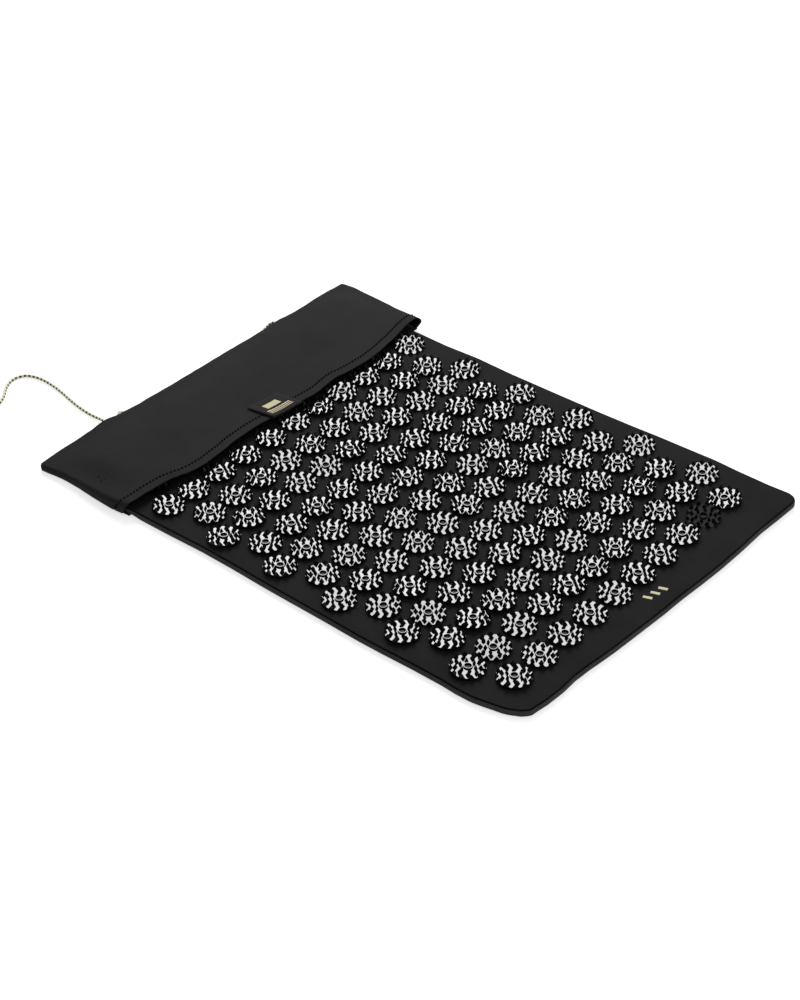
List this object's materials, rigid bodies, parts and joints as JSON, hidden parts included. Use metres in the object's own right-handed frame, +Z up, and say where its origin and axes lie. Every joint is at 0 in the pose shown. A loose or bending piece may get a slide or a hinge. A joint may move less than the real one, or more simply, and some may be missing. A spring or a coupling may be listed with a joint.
{
  "type": "acupressure mat",
  "caption": "Acupressure mat: a flat foam mat in dark cloth, set with rows of spiked plastic discs, its far end in a slip-on cloth sleeve with two tie cords.",
  "frame": {"origin": "on the floor under the middle of the footprint, the tie cords left out", "axes": "+X along the mat to its near end, away from the sleeve; +Y across the mat; +Z up"},
  "size_m": [0.7448, 0.4338, 0.0206],
  "materials": {
    "cover_cloth": "smooth black woven cloth",
    "sleeve_cloth": "smooth black woven cloth",
    "foam": "soft foam, out of sight",
    "thread": "black sewing thread",
    "disc_plastic": "glossy black moulded plastic",
    "label_weave": "dark woven label",
    "cord_braid": "gold and white braid flecked with black"
  },
  "bodies": {
    "mat": {"mat_bottom_panel": "cover_cloth", "foam_core": "foam", "mat_edge_band": "cover_cloth", "mat_top_panel": "cover_cloth", "mat_edge_stitching": "thread", "disc_row_01": "disc_plastic", "disc_row_02": "disc_plastic", "disc_row_03": "disc_plastic", "disc_row_04": "disc_plastic", "disc_row_05": "disc_plastic", "disc_row_06": "disc_plastic", "disc_row_07": "disc_plastic", "disc_row_08": "disc_plastic", "disc_row_09": "disc_plastic", "disc_row_10": "disc_plastic", "disc_row_11": "disc_plastic", "disc_row_12": "disc_plastic", "disc_row_13": "disc_plastic", "disc_row_14": "disc_plastic"},
    "sleeve": {"sleeve_top_panel": "sleeve_cloth", "sleeve_bottom_panel": "sleeve_cloth", "mouth_hem": "sleeve_cloth", "mouth_stitching": "thread", "sleeve_end_seam": "sleeve_cloth", "woven_label": "label_weave", "left_cord": "cord_braid", "left_cord_end_knot": "cord_braid", "left_cord_anchor_knot": "cord_braid", "right_cord": "cord_braid", "right_cord_end_knot": "cord_braid", "right_cord_anchor_knot": "cord_braid"}
  },
  "joints": [
    {"name": "sleeve_pull_off", "type": "slide", "parent": "mat", "child": "sleeve", "axis": [-1, 0, 0], "range_m": [0, 0.12]}
  ]
}
